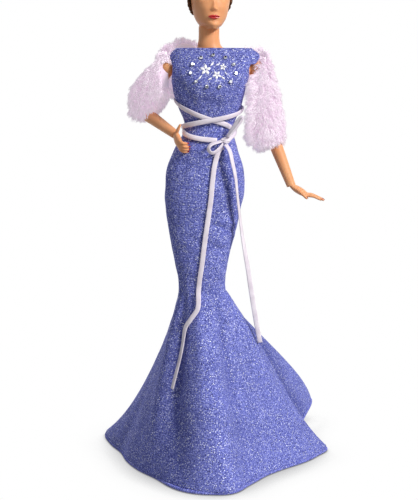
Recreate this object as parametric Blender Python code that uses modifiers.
"""A fashion doll in a mermaid gown, a fur shrug and a satin ribbon.

The doll faces -Y and +X is its left side. The model is built round the doll's
own axis and then placed so that its box stands centred over the origin.
"""
import math

import bmesh
import bpy
from mathutils import Matrix, Vector

for leftover in list(bpy.data.objects):
    bpy.data.objects.remove(leftover, do_unlink=True)

# Heights, each measured up from the landmark below it
KNEE_HEIGHT = 0.1065
THIGH_LENGTH = 0.0575
HIP_RISE = 0.0330
RIB_RISE = 0.0235
SHOULDER_RISE = 0.0142
NECKLINE_RISE = 0.0040
NECK_LENGTH = 0.0130
HEAD_HEIGHT = 0.0320
ANKLE_HEIGHT = 0.0270

# Half widths and depths of the gown
KNEE_HALF_WIDTH = 0.0126
KNEE_DEPTH = 0.0100
HIP_HALF_WIDTH = 0.0219
SEAT_DEPTH = 0.0160
WAIST_HALF_WIDTH = 0.0133
WAIST_DEPTH = 0.0100
BUST_HALF_WIDTH = 0.0205
BUST_DEPTH = 0.0165
SHOULDER_HALF_WIDTH = 0.0246
SHOULDER_DEPTH = 0.0095
NECK_RADIUS = 0.0059
BODY_SWAY = 0.0033

# Hem of the skirt and its train
HEM_REACH = 0.1040
HEM_CENTRE_Y = 0.0250
TRAIN_LIFT = 0.0120
FLARE_POWER = 1.12
CLOTH = 0.0007
HEM_WIDTH = 0.0020
HEM_RISE = 0.0018
TRAIN_CORNER_ANGLE = math.radians(50)
TRAIN_LIFT_SPREAD = math.radians(13)

# Clearances
GAP = 0.0003
RUNNING_GAP = 0.0003
OVERRUN = 0.0060

# Shoulders, arms and hands
SHOULDER_JOINT_DROP = 0.0052
SHOULDER_JOINT_SPAN = 0.0240
SHOULDER_CENTRE_X = 0.0015
SHOULDER_BALL = 0.0044
SHOULDER_FLAT = 0.0018
PEG_RADIUS = 0.0020
PEG_LENGTH = 0.0040
PEG_DISC_RADIUS = 0.0034
PEG_DISC_THICKNESS = 0.0014
UPPER_ARM_RADIUS = 0.0042
ELBOW_RADIUS = 0.0036
WRIST_RADIUS = 0.0025
UPPER_ARM_LENGTH = 0.0335
FOREARM_LENGTH = 0.0345
PALM_LENGTH = 0.0090
PALM_HALF_WIDTH = 0.0040
PALM_HALF_THICKNESS = 0.0020
FINGER_LENGTH = 0.0100
FINGER_RADIUS = 0.0010

# The ways that the upper arms and forearms point, and how far the upper arms lean out
RIGHT_UPPER_WAY = (-0.593, 0.62, -0.785)
RIGHT_FORE_WAY = (0.615, -0.683, -0.392)
LEFT_UPPER_WAY = (0.227, 0.05, -1.0)
LEFT_FORE_WAY = (0.36, -0.14, -0.925)
RIGHT_LEAN = abs(RIGHT_UPPER_WAY[0])
LEFT_LEAN = LEFT_UPPER_WAY[0]

# Neck, head and hair
NOD_DROP = 0.0015
CHIN_DROP = 0.0020
KNOB_BALL = 0.0026
KNOB_STEM = 0.0015
KNOB_FLANGE = 0.0038
KNOB_FLANGE_THICKNESS = 0.0016
KNOB_STEM_LENGTH = 0.0075
HEAD_HALF_WIDTH = 0.0108
HEAD_SIDE = 0.0007
FACE_DEPTH = 0.0125
SKULL_DEPTH = 0.0120
HEAD_TURN = math.radians(10)
NOD_LIMIT = math.radians(10)
HAIR_THICKNESS = 0.0016
BUN_RADIUS = 0.0066
BUN_ROLL = 0.0031

# Hips and legs
AXLE_RADIUS = 0.0020
AXLE_HALF_LENGTH = 0.0145
LEG_CUT_ANGLE = math.radians(52)
CROTCH_DROP = 0.0130
ANKLE_RADIUS = 0.0037
FOOT_LENGTH = 0.0240
FOOT_HALF_WIDTH = 0.0044

# Ribbon and stones
RIBBON_WIDTH = 0.0027
RIBBON_THICKNESS = 0.0003
STRAND_LIFT = 0.0007
KNOT_HALF_WIDTH = 0.0027
KNOT_HALF_HEIGHT = 0.0019
KNOT_HALF_DEPTH = 0.0014
KNOT_X = 0.0088
KNOT_DROP = 0.0068
STONE_COUNT = 11
STONE_RADIUS = 0.0011
STONE_HEIGHT = 0.0008
STONE_OVAL_WIDTH = 0.0120
STONE_OVAL_HEIGHT = 0.0084
STONE_OVAL_X = 0.0023
STONE_RISE_SHARE = 0.47
CLOSURE_HALF_WIDTH = 0.0030
CLOSURE_THICKNESS = 0.0006
CLOSURE_SPREAD_DEGREES = 36

# Fur shrug
FUR_RADIUS = 0.0105
FUR_BAND_HEIGHT = 0.0120
FUR_BAND_THICKNESS = 0.0060
BAND_END_ANGLE = math.radians(20)
BAND_BUNCH_ANGLE = math.radians(122)
BAND_BUNCH_SPREAD = math.radians(26)
BAND_BUNCH_SHARE = 0.45

# Shapes of sections
OVAL_POWER = 2.25
HEAD_POWER = 2.1
THIGH_DEPTH_SHARE = 0.80

# Counts of facets
GOWN_FLARE_ROWS = 7
BODY_COLUMNS = 24
LEG_COLUMNS = 16
BORE_SIDES = 16
PEG_SIDES = 12
SLEEVE_SIDES = 16
HEAD_COLUMNS = 28
LOOP_STEPS = 16
BAND_STEPS = 12
ARM_TRIANGLES = 1000
ARM_VOXEL = 0.00055

KNEE_Z = KNEE_HEIGHT
HIP_Z = KNEE_Z + THIGH_LENGTH
WAIST_Z = HIP_Z + HIP_RISE
KNOT_Z = WAIST_Z - KNOT_DROP
BUST_Z = WAIST_Z + RIB_RISE
SHOULDER_Z = BUST_Z + SHOULDER_RISE
NECKLINE_Z = SHOULDER_Z + NECKLINE_RISE
NECK_TOP_Z = NECKLINE_Z + NECK_LENGTH
NOD_Z = NECK_TOP_Z - NOD_DROP
CHIN_Z = NECK_TOP_Z - CHIN_DROP
JOINT_Z = SHOULDER_Z - SHOULDER_JOINT_DROP
REACH = NECK_TOP_Z + HEAD_HEIGHT
RIGHT_JOINT = Vector((SHOULDER_CENTRE_X - SHOULDER_JOINT_SPAN, 0.0, JOINT_Z))
LEFT_JOINT = Vector((SHOULDER_CENTRE_X + SHOULDER_JOINT_SPAN, 0.0, JOINT_Z))

# Gown outline: height, half width, centre, front depth, back depth
GOWN_ROWS = (
    (KNEE_Z, KNEE_HALF_WIDTH, -1.2 * BODY_SWAY, KNEE_DEPTH, 0.95 * KNEE_DEPTH),
    (KNEE_Z + 0.30 * THIGH_LENGTH, 0.69 * HIP_HALF_WIDTH, -1.3 * BODY_SWAY, 1.22 * KNEE_DEPTH,
     0.70 * SEAT_DEPTH),
    (KNEE_Z + 0.60 * THIGH_LENGTH, 0.86 * HIP_HALF_WIDTH, -1.1 * BODY_SWAY, 1.30 * KNEE_DEPTH,
     0.82 * SEAT_DEPTH),
    (KNEE_Z + 0.86 * THIGH_LENGTH, 0.97 * HIP_HALF_WIDTH, -0.95 * BODY_SWAY, 1.34 * KNEE_DEPTH,
     0.96 * SEAT_DEPTH),
    (HIP_Z, HIP_HALF_WIDTH, -0.7 * BODY_SWAY, 1.32 * KNEE_DEPTH, SEAT_DEPTH),
    (HIP_Z + 0.33 * HIP_RISE, 0.96 * HIP_HALF_WIDTH, -0.65 * BODY_SWAY, 1.22 * WAIST_DEPTH,
     0.91 * SEAT_DEPTH),
    (HIP_Z + 0.64 * HIP_RISE, 0.79 * HIP_HALF_WIDTH, -0.5 * BODY_SWAY, 1.12 * WAIST_DEPTH, 0.70 * SEAT_DEPTH),
    (WAIST_Z, WAIST_HALF_WIDTH, 0.0, WAIST_DEPTH, 0.90 * WAIST_DEPTH),
    (WAIST_Z + 0.44 * RIB_RISE, 0.82 * BUST_HALF_WIDTH, 0.1 * BODY_SWAY, 1.25 * WAIST_DEPTH,
     0.95 * WAIST_DEPTH),
    (WAIST_Z + 0.75 * RIB_RISE, 0.935 * BUST_HALF_WIDTH, 0.0, 0.94 * BUST_DEPTH, WAIST_DEPTH),
    (BUST_Z, BUST_HALF_WIDTH, 0.1 * BODY_SWAY, BUST_DEPTH, WAIST_DEPTH),
    (BUST_Z + 0.60 * SHOULDER_RISE, 0.96 * SHOULDER_HALF_WIDTH, 0.6 * BODY_SWAY, 0.80 * BUST_DEPTH,
     SHOULDER_DEPTH),
    (SHOULDER_Z, SHOULDER_HALF_WIDTH, 0.96 * BODY_SWAY, 1.05 * SHOULDER_DEPTH, 0.95 * SHOULDER_DEPTH),
    (SHOULDER_Z + 0.6 * NECKLINE_RISE, 0.93 * SHOULDER_HALF_WIDTH, 0.96 * BODY_SWAY, 0.9 * SHOULDER_DEPTH,
     0.88 * SHOULDER_DEPTH),
    (NECKLINE_Z, 0.80 * SHOULDER_HALF_WIDTH, 0.8 * BODY_SWAY, 0.84 * SHOULDER_DEPTH, 0.84 * SHOULDER_DEPTH),
)


def shared_levels():
    """Heights at which the gown and what it covers have their rings."""
    levels = []
    for low, high in zip(GOWN_ROWS, GOWN_ROWS[1:]):
        levels.append(low[0])
        if high[0] - low[0] > WAIST_DEPTH:
            levels.append((low[0] + high[0]) / 2)
    return levels + [GOWN_ROWS[-1][0]]


# The doll's own chest and neck, which the gown clears: height, half width, centre, front, back
CHEST_ROWS = (
    (BUST_Z, BUST_HALF_WIDTH, 0.1 * BODY_SWAY, BUST_DEPTH, WAIST_DEPTH),
    (JOINT_Z, 0.94 * SHOULDER_JOINT_SPAN, SHOULDER_CENTRE_X, 1.08 * SHOULDER_DEPTH,
     0.86 * SHOULDER_DEPTH),
    (SHOULDER_Z, 0.76 * SHOULDER_JOINT_SPAN, SHOULDER_CENTRE_X, 0.84 * SHOULDER_DEPTH, 0.78 * SHOULDER_DEPTH),
    (NECKLINE_Z, 1.45 * NECK_RADIUS, 0.3 * BODY_SWAY, 1.06 * NECK_RADIUS, 1.06 * NECK_RADIUS),
    (NECKLINE_Z + 0.25 * NECK_LENGTH, 1.04 * NECK_RADIUS, 0.0, NECK_RADIUS, NECK_RADIUS),
    (NOD_Z, 0.95 * NECK_RADIUS, 0.0, 0.95 * NECK_RADIUS, 0.95 * NECK_RADIUS),
)

# Hem in plan about its centre: angle in degrees, share of HEM_REACH
HEM_REACH_SHARES = (
    (0, 0.620), (10, 0.697), (20, 0.630), (31, 0.590), (40, 0.760), (50, 1.0), (62, 0.900), (75, 0.820),
    (90, 0.800), (105, 0.830), (122, 0.830), (135, 0.760), (147, 0.745), (160, 0.620), (173, 0.515),
    (189, 0.475), (210, 0.455), (232, 0.465), (254, 0.560), (262, 0.585), (270, 0.595), (282, 0.594),
    (295, 0.508), (312, 0.450), (326, 0.452), (339, 0.490),
)
# Bends of the flare: angle in degrees, kick outward at the hem, spread in degrees
FLARE_KICKS = ((148, 0.15, 22), (50, -0.12, 16), (8, 0.12, 12))
KICK_POWER = 6
HEAD_LEVEL_SHARES = (0.0, 0.06, 0.13, 0.20, 0.28, 0.36, 0.44, 0.54, 0.66, 0.78, 0.88, 0.95, 1.0)
# Gown panels: first and last side angle in degrees, columns between them
GOWN_PANELS = (("gown_front", 180, 360, 16), ("gown_back_left", 0, 90, 12), ("gown_back_right", 90, 180, 8))
LEVELS = shared_levels()

doll = bpy.data.collections.new("fashion_doll")
cutters = bpy.data.collections.new("cutters")
for collection in (doll, cutters):
    bpy.context.scene.collection.children.link(collection)


def material(name, colour, roughness, metallic=0.0):
    """A Principled material that carries the piece's plain colour."""
    made = bpy.data.materials.new(name)
    made.use_nodes = True
    shader = made.node_tree.nodes["Principled BSDF"]
    shader.inputs["Base Color"].default_value = (*colour, 1.0)
    shader.inputs["Roughness"].default_value = roughness
    shader.inputs["Metallic"].default_value = metallic
    return made


SKIN = material("skin_vinyl", (0.80, 0.46, 0.27), 0.45)
BODY = material("hard_body", (0.76, 0.44, 0.26), 0.40)
HAIR = material("hair_fibre", (0.16, 0.07, 0.03), 0.50)
KNIT = material("glitter_knit", (0.10, 0.10, 0.52), 0.60)
SATIN = material("satin_ribbon", (0.74, 0.68, 0.76), 0.30)
FUR = material("lilac_fur", (0.74, 0.58, 0.74), 0.90)
STONE = material("rhinestone", (0.90, 0.92, 0.95), 0.05, 0.6)
TAPE = material("closure_tape", (0.12, 0.12, 0.45), 0.80)


def finish_mesh(name, mesh_data, surface, home=doll):
    """Turn a bmesh into a named object with its faces pointing out."""
    bmesh.ops.recalc_face_normals(mesh_data, faces=mesh_data.faces)
    mesh = bpy.data.meshes.new(name)
    mesh_data.to_mesh(mesh)
    mesh_data.free()
    mesh.materials.append(surface)
    mesh.shade_smooth()
    mesh.set_sharp_from_angle(angle=math.radians(40))
    made = bpy.data.objects.new(name, mesh)
    home.objects.link(made)
    if home is cutters:
        made.hide_render = True
        made.display_type = "WIRE"
    return made


def apply_modifiers(target):
    """Replace an object's mesh by what its modifiers make of it."""
    graph = bpy.context.evaluated_depsgraph_get()
    mesh = bpy.data.meshes.new_from_object(target.evaluated_get(graph))
    target.modifiers.clear()
    old = target.data
    target.data = mesh
    bpy.data.meshes.remove(old)


def combine(target, tool, operation="DIFFERENCE", keep_tool=False):
    """Cut, join or intersect the target with the tool."""
    change = target.modifiers.new(tool.name, "BOOLEAN")
    change.operation = operation
    change.object = tool
    apply_modifiers(target)
    if not keep_tool:
        bpy.data.objects.remove(tool, do_unlink=True)


def smooth_table(rows, height):
    """Read a table of rows at a height, along a smooth curve through them."""
    if height <= rows[0][0]:
        return rows[0][1:]
    if height >= rows[-1][0]:
        return rows[-1][1:]
    index = max(i for i in range(len(rows) - 1) if rows[i][0] <= height)
    low, high = rows[index], rows[index + 1]
    below, above = rows[max(index - 1, 0)], rows[min(index + 2, len(rows) - 1)]
    span = high[0] - low[0]
    share = (height - low[0]) / span
    read = []
    for column in range(1, len(low)):
        rise = high[column] - low[column]
        slope_low = (high[column] - below[column]) / (high[0] - below[0]) * span
        slope_high = (above[column] - low[column]) / (above[0] - low[0]) * span
        if (low[column] - below[column]) * rise <= 0:
            slope_low = 0.0
        if (above[column] - high[column]) * rise <= 0:
            slope_high = 0.0
        read.append(low[column] + slope_low * share
                    + (3 * rise - 2 * slope_low - slope_high) * share ** 2
                    + (slope_low + slope_high - 2 * rise) * share ** 3)
    return tuple(read)


def oval_point(angle, half_width, centre, front, back, power=OVAL_POWER):
    """A point of an egg-shaped section with its own front and back depth."""
    run, rise = math.cos(angle), math.sin(angle)
    x = half_width * math.copysign(abs(run) ** (2 / power), run)
    y = (back if rise > 0 else front) * math.copysign(abs(rise) ** (2 / power), rise)
    return centre + x, y


def gown_point(angle, height, outward=0.0):
    """A point of the fitted gown, moved outward from the cloth's face."""
    half_width, centre, front, back = smooth_table(GOWN_ROWS, height)
    x, y = oval_point(angle, half_width + outward, centre, front + outward, back + outward)
    return Vector((x, y, height))


def body_sizes(height):
    """The doll's own section: inside the gown, and its own above the bust."""
    half_width, centre, front, back = smooth_table(GOWN_ROWS, height)
    room = CLOTH + GAP
    sizes = (half_width - room, centre, front - room, back - room)
    if height <= BUST_Z:
        return sizes
    own = smooth_table(CHEST_ROWS, height)
    if height >= NECKLINE_Z:
        return own
    return (min(sizes[0], own[0]), own[1], min(sizes[2], own[2]), min(sizes[3], own[3]))


def hem_reach(angle):
    """The hem's distance from its centre, along a smooth closed curve."""
    degrees = math.degrees(angle) % 360
    count = len(HEM_REACH_SHARES)
    index = max((i for i in range(count) if HEM_REACH_SHARES[i][0] <= degrees), default=0)

    def entry(place):
        turn, slot = divmod(place, count)
        return HEM_REACH_SHARES[slot][0] + 360 * turn, HEM_REACH_SHARES[slot][1]

    rows = [entry(index + step) for step in (-1, 0, 1, 2)]
    share = (degrees - rows[1][0]) / (rows[2][0] - rows[1][0])
    span = rows[2][0] - rows[1][0]
    slope_low = (rows[2][1] - rows[0][1]) / (rows[2][0] - rows[0][0]) * span
    slope_high = (rows[3][1] - rows[1][1]) / (rows[3][0] - rows[1][0]) * span
    rise = rows[2][1] - rows[1][1]
    value = (rows[1][1] + slope_low * share + (3 * rise - 2 * slope_low - slope_high) * share ** 2
             + (slope_low + slope_high - 2 * rise) * share ** 3)
    return HEM_REACH * value


def hem_lift(angle):
    """How far the hem stands off the floor: only the train's corner does."""
    turn = (angle - TRAIN_CORNER_ANGLE + math.pi) % (2 * math.pi) - math.pi
    return TRAIN_LIFT * math.exp(-(turn / TRAIN_LIFT_SPREAD) ** 2)


def flare_spread(angle, drop):
    """How far the cloth has come from the knee's outline to the hem's."""
    kick = 0.0
    for place, size, width in FLARE_KICKS:
        turn = (math.degrees(angle) - place + 180) % 360 - 180
        kick += size * math.exp(-(turn / width) ** 2)
    return (1 - kick) * drop ** (FLARE_POWER + kick / 2) + kick * drop ** KICK_POWER


def flare_point(angle, drop):
    """A point of the flare: drop runs from 0 at the knee to 1 at the hem."""
    top = gown_point(angle, KNEE_Z)
    reach = hem_reach(angle)
    foot = Vector((reach * math.cos(angle), HEM_CENTRE_Y + reach * math.sin(angle),
                   HEM_RISE + GAP + CLOTH + hem_lift(angle)))
    spread = flare_spread(angle, drop)
    return Vector((top.x + (foot.x - top.x) * spread, top.y + (foot.y - top.y) * spread,
                   top.z + (foot.z - top.z) * drop))


def loft(name, rings, surface, home=doll, closed_path=False):
    """Skin a list of equal rings; an open stack gets a cap at each end."""
    build = bmesh.new()
    levels = [[build.verts.new(point) for point in ring] for ring in rings]
    count = len(levels[0])
    pairs = list(zip(levels, levels[1:]))
    if closed_path:
        pairs.append((levels[-1], levels[0]))
    for lower, upper in pairs:
        for i in range(count):
            j = (i + 1) % count
            build.faces.new((lower[i], lower[j], upper[j], upper[i]))
    if not closed_path:
        for ring, level in ((rings[0], levels[0]), (rings[-1], levels[-1])):
            middle = build.verts.new(sum(ring, Vector()) / count)
            for i in range(count):
                build.faces.new((level[i], level[(i + 1) % count], middle))
    return finish_mesh(name, build, surface, home)


def curve_through(points, steps):
    """Evenly numbered points on a smooth curve through the given ones."""
    points = [Vector(p) for p in points]
    path = []
    for i in range(len(points) - 1):
        before = points[max(i - 1, 0)]
        start, end = points[i], points[i + 1]
        after = points[min(i + 2, len(points) - 1)]
        for step in range(steps):
            t = step / steps
            bend = 2 * before - 5 * start + 4 * end - after
            turn = 3 * start - before - 3 * end + after
            path.append(start + ((end - before) * t + bend * t ** 2 + turn * t ** 3) / 2)
    path.append(points[-1])
    return path


def frames_along(path):
    """A side and an up direction for each point of a path, without twist."""
    frames = []
    side = None
    for i, point in enumerate(path):
        ahead = (path[min(i + 1, len(path) - 1)] - path[max(i - 1, 0)]).normalized()
        if side is None:
            guide = Vector((1, 0, 0)) if abs(ahead.x) < 0.9 else Vector((0, 1, 0))
            side = (guide - ahead * guide.dot(ahead)).normalized()
        else:
            side = (side - ahead * side.dot(ahead)).normalized()
        frames.append((side, ahead.cross(side)))
    return frames


def ring_angles(count):
    """Even angles all round a section."""
    return [2 * math.pi * k / count for k in range(count)]


def limb_rings(points, radii, steps=3, sides=12):
    """Round sections along a limb, whose radius changes smoothly."""
    path = curve_through(points, steps)
    spread = curve_through([(r, 0.0, 0.0) for r in radii], steps)
    rings = []
    for point, size, (side, up) in zip(path, spread, frames_along(path)):
        rings.append([point + (side * math.cos(a) + up * math.sin(a)) * size.x for a in ring_angles(sides)])
    return rings


def cylinder(name, radius, start, end, sides=24, surface=None, home=None):
    """A primitive cylinder between two points."""
    start, end = Vector(start), Vector(end)
    build = bmesh.new()
    turn = Vector((0, 0, 1)).rotation_difference(end - start).to_matrix().to_4x4()
    place = Matrix.Translation((start + end) / 2) @ turn
    bmesh.ops.create_cone(build, cap_ends=True, segments=sides, radius1=radius, radius2=radius,
                          depth=(end - start).length, matrix=place)
    return finish_mesh(name, build, surface or BODY, home or cutters)


def ball(name, radius, centre, sides=20, stretch=(1, 1, 1), turn=None, surface=None, home=None):
    """A primitive sphere, stretched along its own axes."""
    build = bmesh.new()
    scale = Matrix.Diagonal((*stretch, 1.0))
    place = Matrix.Translation(Vector(centre)) @ (turn or Matrix.Identity(4)) @ scale
    bmesh.ops.create_uvsphere(build, u_segments=sides, v_segments=sides // 2, radius=radius, matrix=place)
    return finish_mesh(name, build, surface or BODY, home or cutters)


def half_space(name, point, outward, reach):
    """A large box that fills one side of a plane."""
    build = bmesh.new()
    turn = Vector((0, 0, 1)).rotation_difference(Vector(outward)).to_matrix().to_4x4()
    place = Matrix.Translation(Vector(point) + Vector(outward).normalized() * reach / 2) @ turn
    bmesh.ops.create_cube(build, size=reach, matrix=place)
    return finish_mesh(name, build, BODY, cutters)


def turned(name, profile, centre, sides, surface, home=doll):
    """A solid of revolution about +Z: (radius, height) from top to bottom."""
    build = bmesh.new()
    verts = [build.verts.new(Vector((radius, 0.0, height))) for radius, height in profile]
    for upper, lower in zip(verts, verts[1:]):
        build.edges.new((upper, lower))
    mesh = bpy.data.meshes.new(name)
    build.to_mesh(mesh)
    build.free()
    mesh.materials.append(surface)
    made = bpy.data.objects.new(name, mesh)
    home.objects.link(made)
    made.location = centre
    spin = made.modifiers.new("turn", "SCREW")
    spin.axis = "Z"
    spin.steps = spin.render_steps = sides
    spin.use_merge_vertices = True
    spin.merge_threshold = 0.00001
    spin.use_normal_calculate = True
    bpy.context.view_layer.update()
    apply_modifiers(made)
    made.data.transform(Matrix.Translation(made.location))
    made.location = (0, 0, 0)
    tidy = bmesh.new()
    tidy.from_mesh(made.data)
    bmesh.ops.remove_doubles(tidy, verts=tidy.verts, dist=0.00001)
    bmesh.ops.recalc_face_normals(tidy, faces=tidy.faces)
    tidy.to_mesh(made.data)
    tidy.free()
    return made


def half_ring(height, side, sizes, power):
    """Half of an oval section, with a flat face at the torso's side seam."""
    half_width, centre, front, back = sizes
    ring = []
    for k in range(BODY_COLUMNS // 2 + 1):
        angle = 2 * math.pi * k / BODY_COLUMNS + (math.pi if side < 0 else 0.0)
        x, y = oval_point(angle, half_width, centre, front, back, power)
        ring.append(Vector((x, side * max(side * y, GAP / 2), height)))
    return ring


def torso_half(name, side):
    """One hard half of the torso; the two meet at the side seam."""
    bottom = HIP_Z - CROTCH_DROP
    heights = [bottom] + [z for z in LEVELS if z > bottom + GAP]
    heights += [NECKLINE_Z + (NOD_Z - NECKLINE_Z) * k / 3 for k in range(1, 4)]
    rings = [half_ring(z, side, body_sizes(z), OVAL_POWER if z < NECKLINE_Z else 2.0) for z in heights]
    neck_dome = 0.95 * NECK_RADIUS
    for share in (0.35, 0.65, 0.85):
        size = neck_dome * math.sqrt(1 - share ** 2)
        rings.append(half_ring(NOD_Z + neck_dome * share, side, (size, 0.0, size, size), 2.0))
    torso = loft(name, rings, BODY)
    for joint, way in ((RIGHT_JOINT, -1), (LEFT_JOINT, 1)):
        face_x = joint.x - way * (SHOULDER_FLAT + RUNNING_GAP)
        combine(torso, half_space("shoulder_face", (face_x, 0, 0), (way, 0, 0), REACH))
        inner = face_x - way * (PEG_LENGTH - RUNNING_GAP)
        deep = inner - way * (PEG_DISC_THICKNESS + 2 * RUNNING_GAP)
        combine(torso, cylinder("peg_bore", PEG_RADIUS + RUNNING_GAP, ((inner + deep) / 2, 0, JOINT_Z),
                                (joint.x, 0, JOINT_Z), sides=BORE_SIDES))
        combine(torso, cylinder("peg_pocket", PEG_DISC_RADIUS + RUNNING_GAP, (inner, 0, JOINT_Z),
                                (deep, 0, JOINT_Z), sides=BORE_SIDES))
    combine(torso, ball("knob_socket", KNOB_BALL + RUNNING_GAP, (0, 0, NOD_Z), sides=BORE_SIDES))
    mouth = KNOB_STEM + RUNNING_GAP + math.sin(NOD_LIMIT) * NECK_RADIUS
    combine(torso, cylinder("knob_mouth", mouth, (0, 0, NOD_Z), (0, 0, NOD_Z + 2 * NECK_RADIUS),
                            sides=BORE_SIDES))
    sway = smooth_table(GOWN_ROWS, HIP_Z)[1]
    for way in (-1, 1):
        plane = Vector((sway, 0, bottom + GAP))
        outward = Vector((way * math.sin(LEG_CUT_ANGLE), 0, -math.cos(LEG_CUT_ANGLE)))
        combine(torso, half_space("leg_face", plane, outward, REACH))
    combine(torso, cylinder("axle_bore", AXLE_RADIUS + RUNNING_GAP, (sway - REACH / 4, 0, HIP_Z),
                            (sway + REACH / 4, 0, HIP_Z), sides=BORE_SIDES))


def torso():
    """The hard torso in two halves, and the axle that the legs hang on."""
    torso_half("torso_front", -1)
    torso_half("torso_back", 1)
    sway = smooth_table(GOWN_ROWS, HIP_Z)[1]
    cylinder("hip_axle", AXLE_RADIUS, (sway - AXLE_HALF_LENGTH, 0, HIP_Z),
             (sway + AXLE_HALF_LENGTH, 0, HIP_Z), sides=16, home=doll)


def legs():
    """Two legs with tiptoe feet, cut to the torso's slanted sides."""
    sway = smooth_table(GOWN_ROWS, HIP_Z)[1]
    calf_z = KNEE_Z - 0.35 * (KNEE_Z - ANKLE_HEIGHT)
    knee_width, knee_centre, _, _ = body_sizes(KNEE_Z)
    leg_half = (knee_width - GAP / 2) / 2
    lower = (
        (0.12 * ANKLE_HEIGHT, 0.80 * FOOT_HALF_WIDTH, -0.62 * FOOT_LENGTH, 0.14 * FOOT_LENGTH),
        (0.30 * ANKLE_HEIGHT, FOOT_HALF_WIDTH, -0.42 * FOOT_LENGTH, 0.22 * FOOT_LENGTH),
        (0.62 * ANKLE_HEIGHT, 0.90 * FOOT_HALF_WIDTH, -0.12 * FOOT_LENGTH, 0.24 * FOOT_LENGTH),
        (0.85 * ANKLE_HEIGHT, 0.82 * FOOT_HALF_WIDTH, 0.0, 0.19 * FOOT_LENGTH),
        (ANKLE_HEIGHT, ANKLE_RADIUS, 0.0, ANKLE_RADIUS),
        (calf_z - 0.45 * (calf_z - ANKLE_HEIGHT), 0.72 * leg_half, 0.06 * KNEE_DEPTH, 1.4 * ANKLE_RADIUS),
        (calf_z, 0.98 * leg_half, 0.08 * KNEE_DEPTH, 0.62 * KNEE_DEPTH),
    )
    top = HIP_Z + 0.40 * HIP_RISE
    upper = [z for z in LEVELS if z < top]
    for name, side in (("leg_right", -1), ("leg_left", 1)):
        leg_x = knee_centre + side * (GAP / 2 + leg_half)
        rings = [[Vector((leg_x + half_width * math.cos(a), middle_y + half_depth * math.sin(a), height))
                  for a in ring_angles(LEG_COLUMNS)] for height, half_width, middle_y, half_depth in lower]
        for height in upper:
            half_width, centre, front, back = body_sizes(height)
            half = (half_width - GAP / 2) / 2
            middle_x = centre + side * (GAP / 2 + half)
            rings.append([Vector((*oval_point(a, half, middle_x, THIGH_DEPTH_SHARE * front,
                                              THIGH_DEPTH_SHARE * back, 2.0), height))
                          for a in ring_angles(LEG_COLUMNS)])
        leg = loft(name, rings, SKIN)
        plane = Vector((sway, 0, HIP_Z - CROTCH_DROP))
        inward = Vector((-side * math.sin(LEG_CUT_ANGLE), 0, math.cos(LEG_CUT_ANGLE)))
        combine(leg, half_space("torso_side", plane, inward, REACH))
        end = AXLE_HALF_LENGTH + RUNNING_GAP
        combine(leg, cylinder("axle_hole", AXLE_RADIUS + RUNNING_GAP, (sway, 0, HIP_Z),
                              (sway + side * end, 0, HIP_Z), sides=BORE_SIDES))


def gown_panel(name, first, last, columns):
    """One cloth panel of the gown between two side angles, neck to hem."""
    rows = [("fit", level) for level in reversed(LEVELS)]
    rows += [("flare", k / GOWN_FLARE_ROWS) for k in range(1, GOWN_FLARE_ROWS + 1)]
    build = bmesh.new()
    grid = []
    for kind, level in rows:
        def at(angle):
            return gown_point(angle, level) if kind == "fit" else flare_point(angle, level)
        line = []
        for k in range(columns + 1):
            angle = first + (last - first) * k / columns
            point = at(angle)
            if k in (0, columns):
                inward = at(angle + (last - first) / columns * (1 if k == 0 else -1)) - point
                point = point + inward.normalized() * GAP / 2
            line.append(build.verts.new(point))
        grid.append(line)
    for upper, lower in zip(grid, grid[1:]):
        for i in range(columns):
            build.faces.new((upper[i], lower[i], lower[i + 1], upper[i + 1]))
    mesh = bpy.data.meshes.new(name)
    build.to_mesh(mesh)
    build.free()
    mesh.materials.append(KNIT)
    mesh.shade_smooth()
    made = bpy.data.objects.new(name, mesh)
    doll.objects.link(made)
    wall = made.modifiers.new("cloth", "SOLIDIFY")
    wall.thickness = CLOTH
    wall.offset = -1.0
    wall.use_even_offset = False
    apply_modifiers(made)
    return made


def armhole_cutters(joint, side, lean):
    """What the turning arm needs: a round hole, and a cone below the cap."""
    clear = SHOULDER_BALL + 3 * GAP
    inner = joint.x - side * (SHOULDER_BALL + OVERRUN / 3)
    hole = cylinder("armhole", clear, (inner, 0, JOINT_Z), (joint.x + side * OVERRUN, 0, JOINT_Z), sides=22)
    room = UPPER_ARM_RADIUS + 3 * GAP
    length = room + 2 * SHOULDER_BALL
    middle = Vector((joint.x + side * (length / 2 - room), 0, JOINT_Z))
    turn = Vector((0, 0, 1)).rotation_difference(Vector((side, 0, 0))).to_matrix().to_4x4()
    build = bmesh.new()
    apex = 0.4 * clear
    bmesh.ops.create_cone(build, cap_ends=True, segments=24, radius1=apex, radius2=apex + length / lean,
                          depth=length, matrix=Matrix.Translation(middle) @ turn)
    cone = finish_mesh("arm_sweep", build, BODY, cutters)
    combine(cone, half_space("cap_stays", (joint.x, 0, JOINT_Z + 0.3 * SHOULDER_BALL), (0, 0, 1), REACH))
    return hole, cone


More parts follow.
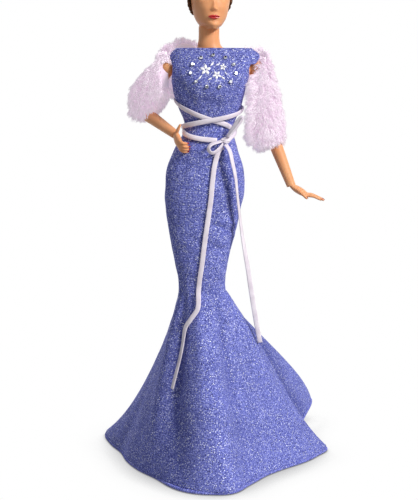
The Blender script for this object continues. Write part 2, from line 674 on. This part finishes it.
def gown():
    """Three knit panels, the closure down the back and the overlocked hem."""
    panels = [gown_panel(name, math.radians(first), math.radians(last), columns)
              for name, first, last, columns in GOWN_PANELS]
    for joint, side, lean in ((RIGHT_JOINT, -1, RIGHT_LEAN), (LEFT_JOINT, 1, LEFT_LEAN)):
        for tool in armhole_cutters(joint, side, lean):
            for panel in panels:
                combine(panel, tool, keep_tool=True)
            bpy.data.objects.remove(tool, do_unlink=True)
    rings = []
    for height in [z for z in LEVELS if HIP_Z <= z <= NECKLINE_Z - 0.3 * NECKLINE_RISE]:
        outer = gown_point(math.pi / 2, height)
        near, far = outer.y + GAP, outer.y + GAP + CLOSURE_THICKNESS
        rings.append([Vector((outer.x + x, y, height)) for x, y in (
            (-CLOSURE_HALF_WIDTH, near), (CLOSURE_HALF_WIDTH, near),
            (CLOSURE_HALF_WIDTH, far), (-CLOSURE_HALF_WIDTH, far))])
    loft("gown_closure", rings, TAPE)
    rings = []
    in_order = sorted(GOWN_PANELS, key=lambda panel: panel[1])
    for angle in [math.radians(first + (last - first) * k / columns)
                  for _, first, last, columns in in_order for k in range(columns)]:
        point = flare_point(angle, 1.0)
        step = flare_point(angle + 0.01, 1.0) - flare_point(angle - 0.01, 1.0)
        out = Vector((step.y, -step.x, 0.0)).normalized()
        middle = Vector((point.x, point.y, hem_lift(angle)))
        half = HEM_WIDTH / 2
        inward = CLOTH / 2
        rings.append([middle + out * (across - inward) + Vector((0, 0, up)) for across, up in (
            (-0.6 * half, 0.0), (0.6 * half, 0.0), (half, 0.45 * HEM_RISE), (0.5 * half, HEM_RISE),
            (-0.5 * half, HEM_RISE), (-half, 0.45 * HEM_RISE))])
    loft("gown_hem", rings, KNIT, closed_path=True)


def tape(name, points, directions, width, thickness):
    """A flat ribbon along points; each direction is the way its face looks."""
    rings = []
    for i, (point, face) in enumerate(zip(points, directions)):
        ahead = (points[min(i + 1, len(points) - 1)] - points[max(i - 1, 0)]).normalized()
        face = (face - ahead * face.dot(ahead)).normalized()
        across = ahead.cross(face) * width / 2
        up = face * thickness / 2
        rings.append([point - across - up, point + across - up, point + across + up, point - across + up])
    made = loft(name, rings, SATIN)
    made.modifiers.new("triangles", "TRIANGULATE")
    apply_modifiers(made)


def outward_at(angle, height):
    """The way the gown's face looks at a place."""
    along = gown_point(angle + 0.02, height) - gown_point(angle - 0.02, height)
    rise = gown_point(angle, height + CLOTH) - gown_point(angle, height - CLOTH)
    return along.cross(rise).normalized()


def strand(name, stops, layer):
    """A ribbon wound on the waist: (degrees round, rise from the waist)."""
    base = STRAND_LIFT + RIBBON_THICKNESS / 2 + layer * (RIBBON_THICKNESS + 2 * GAP)
    path, faces = [], []
    guide = curve_through([(angle, rise, 0.0) for angle, rise in stops], 6)
    for stop in guide:
        angle, height = math.radians(stop.x), WAIST_Z + stop.y
        face = outward_at(angle, height)
        from_back = (stop.x - 90 + 180) % 360 - 180
        lift = base + (CLOSURE_THICKNESS + 2 * GAP) * math.exp(-(from_back / CLOSURE_SPREAD_DEGREES) ** 4)
        path.append(gown_point(angle, height) + face * lift)
        faces.append(face)
    tape(name, path, faces, RIBBON_WIDTH, RIBBON_THICKNESS)


def front_y(x, height, clear):
    """The depth of the gown's front face at a place, plus a clearance."""
    if height >= KNEE_Z:
        half_width, centre, front, _ = smooth_table(GOWN_ROWS, height)
        share = min(abs(x - centre) / half_width, 0.999)
        return -front * (1 - share ** OVAL_POWER) ** (1 / OVAL_POWER) - clear
    low, high = math.pi, 2 * math.pi
    for _ in range(40):
        angle = (low + high) / 2
        foot = HEM_RISE + GAP + CLOTH + hem_lift(angle)
        drop = (KNEE_Z - height) / (KNEE_Z - foot)
        if flare_point(angle, drop).x < x:
            low = angle
        else:
            high = angle
    return flare_point(angle, drop).y - clear


# Ribbon tails: across from the knot, share of the height above or below the knee
LEFT_TAIL_ROUTE = (
    (-0.0014, 0.962), (-0.0038, 0.928), (-0.0058, 0.836), (-0.0069, 0.738), (-0.0078, 0.620),
    (-0.0095, 0.478), (-0.0112, 0.335), (-0.0126, 0.198), (-0.0138, 0.102), (-0.0146, 0.010),
    (-0.0150, -0.075), (-0.0188, -0.131), (-0.0220, -0.183), (-0.0236, -0.272), (-0.0257, -0.367),
    (-0.0295, -0.506),
)
# The right tail hangs free: across from the knot, back from its face, share of the height
RIGHT_TAIL_ROUTE = (
    (0.0004, -0.0012, 0.976), (0.0025, -0.0037, 0.935), (0.0038, -0.0049, 0.872), (0.0057, -0.0043, 0.759),
    (0.0068, -0.0028, 0.639), (0.0080, -0.0007, 0.520), (0.0093, 0.0015, 0.400), (0.0109, 0.0037, 0.281),
    (0.0127, 0.0059, 0.161), (0.0142, 0.0083, 0.042), (0.0158, 0.0105, -0.061), (0.0173, 0.0127, -0.146),
    (0.0188, 0.0147, -0.225), (0.0204, 0.0165, -0.300),
)
# The tails twist: the left one below its fold, the right one about a share of its height
LEFT_TAIL_TWIST = math.radians(58)
RIGHT_TAIL_TWIST = math.radians(65)
RIGHT_TWIST_SHARE = 0.6
RIGHT_TWIST_SPREAD = 0.5


def tail_height(share):
    """A height between the floor (-1), the knee (0) and the knot (1)."""
    return KNEE_Z + share * (KNOT_Z - KNEE_Z if share > 0 else KNEE_Z)


def tail_share(height):
    """The share that tail_height reads, from a height."""
    return (height - KNEE_Z) / (KNOT_Z - KNEE_Z if height > KNEE_Z else KNEE_Z)


def left_tail_face(height):
    """The way the left tail looks: to the front, and aside below its fold."""
    twist = LEFT_TAIL_TWIST * min(max(-4 * tail_share(height), 0.0), 1.0)
    return Vector((-math.sin(twist), -math.cos(twist), 0.25 * math.cos(twist)))


def right_tail_face(height):
    """The way the right tail looks: aside where it leaves the hip."""
    off = (tail_share(height) - RIGHT_TWIST_SHARE) / RIGHT_TWIST_SPREAD
    twist = RIGHT_TAIL_TWIST * math.exp(-off ** 2)
    return Vector((math.sin(twist), -math.cos(twist), 0.0))


def ribbons():
    """The ribbon laced round the waist, its knot, bow loops and tails."""
    rise = RIB_RISE
    strand("ribbon_strand_a", ((91, 0.50 * rise), (135, 0.58 * rise), (180, 0.62 * rise),
                               (225, 0.42 * rise), (270, 0.20 * rise), (315, 0.05 * rise),
                               (360, -0.14 * rise), (405, -0.16 * rise), (449, -0.14 * rise)), 0)
    strand("ribbon_strand_b", ((89, 0.50 * rise), (45, 0.50 * rise), (0, 0.44 * rise),
                               (-45, 0.30 * rise), (-90, 0.18 * rise), (-135, 0.08 * rise),
                               (-180, 0.02 * rise), (-225, 0.04 * rise), (-269, 0.06 * rise)), 1)
    knot = Vector((KNOT_X, front_y(KNOT_X, KNOT_Z, 2 * GAP + KNOT_HALF_DEPTH + RIBBON_THICKNESS), KNOT_Z))
    ball("ribbon_knot", 1.0, knot, sides=12, stretch=(KNOT_HALF_WIDTH, KNOT_HALF_DEPTH, KNOT_HALF_HEIGHT),
         surface=SATIN, home=doll)
    strand("ribbon_strand_c", ((91, -0.14 * rise), (135, -0.12 * rise), (180, -0.08 * rise),
                               (225, -0.19 * rise), (262, -0.26 * rise), (287, -0.29 * rise)), 0)
    strand("ribbon_strand_d", ((89, 0.06 * rise), (45, 0.0), (0, -0.08 * rise), (-30, -0.18 * rise),
                               (-46, -0.26 * rise)), 1)
    loops(knot)
    left = []
    for across, share in LEFT_TAIL_ROUTE:
        x, z = KNOT_X + across, tail_height(share)
        clear = 3 * GAP + RIBBON_THICKNESS + (2 * CLOTH if z < KNEE_Z else 0.0)
        left.append(Vector((x, front_y(x, z, clear), z)))
    path = curve_through(left, 2)
    faces = [left_tail_face(point.z) for point in path]
    tape("ribbon_tail_left", path, faces, RIBBON_WIDTH, RIBBON_THICKNESS)
    path = curve_through([(KNOT_X + across, knot.y + back, tail_height(share))
                          for across, back, share in RIGHT_TAIL_ROUTE], 2)
    faces = [right_tail_face(point.z) for point in path]
    tape("ribbon_tail_right", path, faces, RIBBON_WIDTH, RIBBON_THICKNESS)


def loops(knot):
    """Two bow loops that leave the knot and come back to it."""
    room = GAP + RIBBON_THICKNESS
    sizes = Vector((KNOT_HALF_WIDTH + room, KNOT_HALF_DEPTH + room, KNOT_HALF_HEIGHT + room))
    ahead = Vector((0, -0.6 * KNOT_HALF_DEPTH, 0))
    for name, side, lean, front, length, spread in (("bow_loop_left", -1, -0.50, 0.36, 3.4, 1.15),
                                                    ("bow_loop_right", 1, 1.15, 0.20, 6.6, 0.80)):
        along = Vector((side * math.cos(lean), -front, math.sin(lean))).normalized()
        across = Vector((-along.z * side, 0, along.x * side)).normalized()
        shift = Vector((0.0, ahead.y / sizes.y, 0.0))
        way = Vector([along[i] / sizes[i] for i in range(3)])
        toward, long = shift.dot(way), way.dot(way)
        seat = (math.sqrt(toward ** 2 + long * (1 - shift.dot(shift))) - toward) / long
        start = knot + ahead + along * seat
        path = []
        faces = []
        for k in range(LOOP_STEPS + 1):
            turn = math.pi * k / LOOP_STEPS
            reach = length * KNOT_HALF_WIDTH * math.sin(turn) ** 0.9
            path.append(start + along * reach + across * math.cos(turn) * spread * KNOT_HALF_HEIGHT
                        * (0.30 + math.sin(turn)))
            faces.append(across * math.cos(turn) + along * math.sin(turn) + Vector((0, -0.25, 0)))
        tape(name, path, faces, 0.85 * RIBBON_WIDTH, RIBBON_THICKNESS)


def stones():
    """Flat-backed rhinestones in an oval on the bodice."""
    middle_z = BUST_Z + STONE_RISE_SHARE * SHOULDER_RISE
    for k, round_oval in enumerate(ring_angles(STONE_COUNT)):
        turn = math.pi / 2 + round_oval
        x = STONE_OVAL_X + STONE_OVAL_WIDTH * math.cos(turn)
        z = middle_z + STONE_OVAL_HEIGHT * math.sin(turn)
        y = front_y(x, z, 0.0)
        step = CLOTH
        slope_x = (front_y(x + step, z, 0.0) - front_y(x - step, z, 0.0)) / (2 * step)
        slope_z = (front_y(x, z + step, 0.0) - front_y(x, z - step, 0.0)) / (2 * step)
        face = Vector((slope_x, -1.0, slope_z)).normalized()
        build = bmesh.new()
        turn_out = Vector((0, 0, 1)).rotation_difference(face).to_matrix().to_4x4()
        seat = Vector((x, y, z)) + face * (1.3 * GAP + STONE_HEIGHT / 2)
        bmesh.ops.create_cone(build, cap_ends=True, segments=8, radius1=STONE_RADIUS,
                              radius2=0.6 * STONE_RADIUS, depth=STONE_HEIGHT,
                              matrix=Matrix.Translation(seat) @ turn_out)
        finish_mesh(f"rhinestone_{k + 1:02d}", build, STONE)


def arm_lines(joint, side):
    """The arm's centre line and its radii, shoulder to wrist, and the wrist."""
    ways = (RIGHT_UPPER_WAY, RIGHT_FORE_WAY) if side < 0 else (LEFT_UPPER_WAY, LEFT_FORE_WAY)
    upper, lower = [Vector(way).normalized() for way in ways]
    elbow = joint + upper * UPPER_ARM_LENGTH
    wrist = elbow + lower * FOREARM_LENGTH
    points = [joint, joint + upper * 0.5 * UPPER_ARM_LENGTH, elbow - upper * 0.15 * UPPER_ARM_LENGTH,
              elbow + lower * 0.12 * FOREARM_LENGTH, elbow + (wrist - elbow) * 0.45, wrist]
    radii = [UPPER_ARM_RADIUS, UPPER_ARM_RADIUS, 0.92 * UPPER_ARM_RADIUS, ELBOW_RADIUS, 0.95 * ELBOW_RADIUS,
             WRIST_RADIUS]
    return points, radii, upper, lower, wrist


def finger(name, points, radius):
    """One finger as a tapering limb with a round tip."""
    rings = limb_rings(points, [radius, radius, 0.85 * radius, 0.5 * radius][:len(points)], steps=2, sides=8)
    return loft(name, rings, SKIN, cutters)


def hand_pieces(side, wrist):
    """Palm, fingers and thumb of one hand, ready to be joined."""
    if side > 0:
        ahead = Vector((0.86, -0.10, -0.50)).normalized()
        width_way = Vector((0.10, 1.0, 0.05)).normalized()
        bend = Vector((0.95, -0.05, -0.12)).normalized()
        curl = Vector((0.90, 0.0, -0.40)).normalized()
    else:
        ahead = Vector((0.30, -0.75, -0.59)).normalized()
        width_way = Vector((0.05, 0.60, -0.80)).normalized()
        bend = Vector((0.75, -0.45, -0.45)).normalized()
        curl = Vector((0.75, 0.60, -0.10)).normalized()
    thick_way = ahead.cross(width_way).normalized()
    palm_middle = wrist + ahead * 0.55 * PALM_LENGTH
    basis = Matrix((ahead, width_way, thick_way)).transposed().to_4x4()
    pieces = [ball("palm", 1.0, palm_middle, sides=16,
                   stretch=(0.66 * PALM_LENGTH, PALM_HALF_WIDTH, PALM_HALF_THICKNESS), turn=basis)]
    scale = FINGER_LENGTH if side > 0 else 0.62 * FINGER_LENGTH
    for k, share in enumerate((0.86, 1.0, 0.95, 0.78)):
        across = width_way * PALM_HALF_WIDTH * (-0.72 + 0.48 * k)
        root = wrist + ahead * 0.75 * PALM_LENGTH + across
        knuckle = wrist + ahead * PALM_LENGTH * 1.05 + across * 1.04
        middle = knuckle + bend * 0.45 * scale * share
        tip = middle + curl * 0.55 * scale * share
        pieces.append(finger("finger", [root, knuckle, middle, tip], FINGER_RADIUS))
    thumb_root = wrist + ahead * 0.25 * PALM_LENGTH - width_way * 0.5 * PALM_HALF_WIDTH
    if side > 0:
        thumb = [thumb_root, thumb_root + ahead * 0.4 * PALM_LENGTH - width_way * 0.55 * PALM_HALF_WIDTH,
                 thumb_root + ahead * 0.85 * PALM_LENGTH - width_way * 0.70 * PALM_HALF_WIDTH
                 - Vector((0, 0, 0.12 * PALM_LENGTH))]
    else:
        thumb = [thumb_root, thumb_root + Vector((0.10, -0.30, 0.25)) * PALM_LENGTH,
                 thumb_root + Vector((0.25, -0.45, 0.70)) * PALM_LENGTH]
    pieces.append(finger("thumb", thumb, 1.05 * FINGER_RADIUS))
    return pieces


def arm(name, joint, side):
    """A one-piece vinyl arm with its hand and its shoulder peg."""
    points, radii, _, _, wrist = arm_lines(joint, side)
    made = loft(name, limb_rings(points, radii), SKIN)
    parts = hand_pieces(side, wrist) + [ball("deltoid", SHOULDER_BALL, joint)]
    build = bmesh.new()
    for piece in [made] + parts:
        build.from_mesh(piece.data)
    for piece in parts:
        bpy.data.objects.remove(piece, do_unlink=True)
    build.to_mesh(made.data)
    build.free()
    remesh = made.modifiers.new("one_skin", "REMESH")
    remesh.mode = "VOXEL"
    remesh.voxel_size = ARM_VOXEL
    apply_modifiers(made)
    count = sum(len(face.vertices) - 2 for face in made.data.polygons)
    thin = made.modifiers.new("fewer_faces", "DECIMATE")
    thin.ratio = min(1.0, ARM_TRIANGLES / count)
    apply_modifiers(made)
    face_x = joint.x - side * SHOULDER_FLAT
    combine(made, half_space("inner_face", (face_x, 0, JOINT_Z), (-side, 0, 0), 4 * SHOULDER_BALL))
    disc_x = face_x - side * (PEG_LENGTH + RUNNING_GAP)
    inside_disc = disc_x - side * PEG_DISC_THICKNESS / 2
    combine(made, cylinder("peg", PEG_RADIUS, (inside_disc, 0, JOINT_Z), (joint.x, 0, JOINT_Z),
                           sides=PEG_SIDES), "UNION")
    combine(made, cylinder("peg_disc", PEG_DISC_RADIUS, (disc_x - side * PEG_DISC_THICKNESS, 0, JOINT_Z),
                           (disc_x, 0, JOINT_Z), sides=BORE_SIDES), "UNION")
    made.data.materials.clear()
    made.data.materials.append(SKIN)
    return made


def cap_reach(side):
    """How far the gown's shoulder cap and its chest reach to one side."""
    cap = smooth_table(GOWN_ROWS, SHOULDER_Z)
    chest = smooth_table(GOWN_ROWS, BUST_Z)
    return cap[1] + side * cap[0], chest[1] + side * chest[0]


def sleeve(name, joint, side):
    """A puffy fur sleeve, hollowed for the arm and clear of the bodice."""
    points, _, upper, lower, _ = arm_lines(joint, side)
    out = Vector((side, 0, 0))
    if side < 0:
        path = [joint + out * 0.15 * FUR_RADIUS + Vector((0, 0, 0.78 * FUR_RADIUS)),
                joint + upper * 0.12 * UPPER_ARM_LENGTH + out * 0.05 * FUR_RADIUS,
                joint + upper * 0.60 * UPPER_ARM_LENGTH, points[2] + lower * 0.06 * FOREARM_LENGTH,
                joint + upper * UPPER_ARM_LENGTH + lower * 0.22 * FOREARM_LENGTH]
        swell = (0.30, 0.78, 1.00, 0.84, 0.60)
    else:
        path = [joint + out * 0.55 * FUR_RADIUS + Vector((0, 0, 0.55 * FUR_RADIUS)),
                joint + upper * 0.22 * UPPER_ARM_LENGTH + out * 0.12 * FUR_RADIUS,
                joint + upper * 0.62 * UPPER_ARM_LENGTH - out * 0.10 * FUR_RADIUS,
                joint + upper * 0.96 * UPPER_ARM_LENGTH - out * 0.20 * FUR_RADIUS,
                joint + upper * UPPER_ARM_LENGTH + lower * 0.24 * FOREARM_LENGTH - out * 0.25 * FUR_RADIUS]
        swell = (0.36, 0.84, 1.00, 1.04, 0.85)
    made = loft(name, limb_rings(path, [FUR_RADIUS * share for share in swell], sides=SLEEVE_SIDES), FUR)
    cap, chest = cap_reach(side)
    combine(made, cylinder("cap_sweep", 2.25 * SHOULDER_BALL, (cap + side * GAP, 0, JOINT_Z),
                           (cap - side * REACH / 4, 0, JOINT_Z)))
    combine(made, half_space("chest_side", (chest + side * 2 * GAP, 0, JOINT_Z), (-side, 0, 0), REACH))
    elbow, room = joint + upper * UPPER_ARM_LENGTH, UPPER_ARM_RADIUS + 2 * GAP
    combine(made, cylinder("upper_arm_bore", room, joint, elbow))
    combine(made, cylinder("forearm_bore", room, elbow, elbow + lower * FOREARM_LENGTH))
    combine(made, ball("elbow_room", 1.04 * room, elbow))
    combine(made, ball("deltoid_room", SHOULDER_BALL + 1.5 * GAP, joint))
    return made


def fur_band():
    """The band of fur behind the shoulders that joins the two sleeves."""
    rings = []
    middle_z = JOINT_Z + 0.20 * FUR_BAND_HEIGHT
    clear = CLOSURE_THICKNESS + 3 * GAP + FUR_BAND_THICKNESS / 2
    for k in range(BAND_STEPS + 1):
        angle = BAND_END_ANGLE + (math.pi - 2 * BAND_END_ANGLE) * k / BAND_STEPS
        bunch = math.exp(-((angle - BAND_BUNCH_ANGLE) / BAND_BUNCH_SPREAD) ** 2)
        height = middle_z + FUR_BAND_HEIGHT * (0.12 * abs(math.cos(angle)) + BAND_BUNCH_SHARE * bunch)
        middle = gown_point(angle, middle_z, clear)
        outward = (gown_point(angle, middle_z, 2 * clear) - middle).normalized()
        rings.append([Vector((middle.x, middle.y, height)) + outward * FUR_BAND_THICKNESS / 2 * math.cos(a)
                      + Vector((0, 0, FUR_BAND_HEIGHT / 2 * math.sin(a))) for a in ring_angles(12)])
    band = loft("stole_back", rings, FUR)
    for side in (-1, 1):
        _, chest = cap_reach(side)
        combine(band, half_space("sleeve_side", (chest + side * GAP, 0, JOINT_Z), (side, 0, 0), REACH))


def head_point(angle, height, outward=0.0):
    """A point of the head's skin: a plain oval head with brow, nose and chin."""
    size = HEAD_HALF_WIDTH
    rows = (
        (CHIN_Z, 0.32 * size, 0.90 * FACE_DEPTH, 0.04 * SKULL_DEPTH),
        (CHIN_Z + 0.06 * HEAD_HEIGHT, 0.54 * size, 0.95 * FACE_DEPTH, 0.25 * SKULL_DEPTH),
        (CHIN_Z + 0.18 * HEAD_HEIGHT, 0.77 * size, 0.95 * FACE_DEPTH, 0.62 * SKULL_DEPTH),
        (CHIN_Z + 0.34 * HEAD_HEIGHT, 0.90 * size, 0.96 * FACE_DEPTH, 0.86 * SKULL_DEPTH),
        (CHIN_Z + 0.50 * HEAD_HEIGHT, 0.98 * size, 0.94 * FACE_DEPTH, 0.97 * SKULL_DEPTH),
        (CHIN_Z + 0.66 * HEAD_HEIGHT, size, 0.95 * FACE_DEPTH, SKULL_DEPTH),
        (CHIN_Z + 0.82 * HEAD_HEIGHT, 0.90 * size, 0.84 * FACE_DEPTH, 0.92 * SKULL_DEPTH),
        (CHIN_Z + 0.94 * HEAD_HEIGHT, 0.60 * size, 0.54 * FACE_DEPTH, 0.66 * SKULL_DEPTH),
        (CHIN_Z + HEAD_HEIGHT, 0.22 * size, 0.18 * FACE_DEPTH, 0.28 * SKULL_DEPTH),
    )
    half_width, front, back = smooth_table(rows, height)
    x, y = oval_point(angle, half_width + outward, HEAD_SIDE, front + outward, back + outward, HEAD_POWER)
    share = (height - CHIN_Z) / HEAD_HEIGHT
    beside = math.exp(-((x - HEAD_SIDE) / (0.14 * size)) ** 2)
    if y < 0:
        y -= 0.11 * FACE_DEPTH * beside * math.exp(-((share - 0.36) / 0.07) ** 2)
    return Vector((x, y, height))


def domed_rings(angles, levels, outward):
    """Rings that follow the head at a distance, closed over its crown."""
    rings = [[head_point(a, z, outward) for a in angles] for z in levels]
    return rings + [[Vector(((p.x + HEAD_SIDE) / 2, p.y / 2, p.z + outward)) for p in rings[-1]]]


def head():
    """The vinyl head with its knob pocket, the drawn-back hair and the coil."""
    levels = [CHIN_Z + HEAD_HEIGHT * share for share in HEAD_LEVEL_SHARES]
    angles = ring_angles(HEAD_COLUMNS)
    skull = loft("head", [[head_point(a, z) for a in angles] for z in levels], SKIN)
    seat = 0.95 * NECK_RADIUS + 2 * RUNNING_GAP
    combine(skull, ball("neck_seat", seat, (0, 0, NOD_Z), sides=BORE_SIDES))
    stem_top = NOD_Z + KNOB_STEM_LENGTH
    combine(skull, cylinder("stem_hole", KNOB_STEM + RUNNING_GAP, (0, 0, NOD_Z),
                            (0, 0, stem_top + KNOB_FLANGE_THICKNESS / 2), sides=PEG_SIDES))
    combine(skull, cylinder("flange_pocket", KNOB_FLANGE + RUNNING_GAP, (0, 0, stem_top - RUNNING_GAP),
                            (0, 0, stem_top + KNOB_FLANGE_THICKNESS + RUNNING_GAP), sides=BORE_SIDES))
    outer = GAP + HAIR_THICKNESS
    cap = loft("hair_cap", domed_rings(angles, levels[2:], outer), HAIR)
    combine(cap, loft("skull_room", domed_rings(angles, levels[1:], GAP), HAIR, cutters))
    face_way = Vector((0, -0.80, -0.60)).normalized()
    hairline = Vector((HEAD_SIDE, -0.72 * FACE_DEPTH, CHIN_Z + 0.86 * HEAD_HEIGHT))
    combine(cap, half_space("face_opening", hairline, face_way, 2 * HEAD_HEIGHT))
    middle = Vector((HEAD_SIDE, 0.42 * SKULL_DEPTH, CHIN_Z + HEAD_HEIGHT))
    tilt = Matrix.Rotation(math.radians(-28), 4, "X")
    coil = []
    for turn in ring_angles(18):
        spoke = Vector((math.cos(turn), math.sin(turn), 0))
        coil.append([middle + tilt @ (spoke * (BUN_RADIUS - BUN_ROLL + BUN_ROLL * math.cos(b))
                                      + Vector((0, 0, 1.1 * BUN_ROLL * math.sin(b))))
                     for b in ring_angles(10)])
    bun = loft("hair_bun", coil, HAIR, closed_path=True)
    combine(bun, loft("cap_room", domed_rings(angles, levels[2:], outer + GAP), HAIR, cutters))
    flange_top = stem_top + KNOB_FLANGE_THICKNESS
    profile = [(0.0, flange_top), (0.85 * KNOB_FLANGE, flange_top),
               (KNOB_FLANGE, stem_top + 0.4 * KNOB_FLANGE_THICKNESS), (KNOB_FLANGE, stem_top),
               (KNOB_STEM, stem_top)]
    neck_angle = math.asin(KNOB_STEM / KNOB_BALL)
    for k in range(9):
        turn = neck_angle + (math.pi - neck_angle) * k / 8
        profile.append((KNOB_BALL * math.sin(turn) if k < 8 else 0.0, NOD_Z + KNOB_BALL * math.cos(turn)))
    turned("neck_knob", profile, (0, 0, 0), 20, BODY)
    turn_head = Matrix.Rotation(HEAD_TURN, 4, "Z")
    for piece in (skull, cap, bun):
        piece.data.transform(turn_head)


def pivot(name, place, parent=None):
    """An empty on a joint's axis, which carries what turns there."""
    made = bpy.data.objects.new(name, None)
    doll.objects.link(made)
    made.location = place
    made.parent = parent
    return made


def assemble():
    """Hang every piece on its pivot and stand the whole over the origin."""
    bounds = [obj.matrix_world @ Vector(corner) for obj in doll.objects if obj.type == "MESH"
              for corner in obj.bound_box]
    low = Vector([min(p[i] for p in bounds) for i in range(3)])
    high = Vector([max(p[i] for p in bounds) for i in range(3)])
    stand = Vector((-(low.x + high.x) / 2, -(low.y + high.y) / 2, -low.z))
    root = pivot("doll_axis", stand)
    groups = {
        "right_shoulder": (RIGHT_JOINT, ("arm_right", "sleeve_right")),
        "left_shoulder": (LEFT_JOINT, ("arm_left", "sleeve_left")),
        "neck_joint": (Vector((0, 0, NOD_Z)), ("neck_knob", "head", "hair_cap", "hair_bun")),
    }
    moved = {}
    for name, (place, members) in groups.items():
        hub = pivot(name, place, root)
        for member in members:
            moved[member] = (hub, place)
    for obj in list(doll.objects):
        if obj.type != "MESH":
            continue
        hub, place = moved.get(obj.name, (root, Vector()))
        obj.data.transform(Matrix.Translation(-place))
        obj.parent = hub
    bpy.context.view_layer.update()
    print("body axis at", [round(1000 * v, 3) for v in stand])
    for name in groups:
        print(name, [round(1000 * v, 3) for v in bpy.data.objects[name].matrix_world.translation])


torso()
legs()
gown()
ribbons()
stones()
arm("arm_right", RIGHT_JOINT, -1)
arm("arm_left", LEFT_JOINT, 1)
sleeve("sleeve_right", RIGHT_JOINT, -1)
sleeve("sleeve_left", LEFT_JOINT, 1)
fur_band()
head()
assemble()
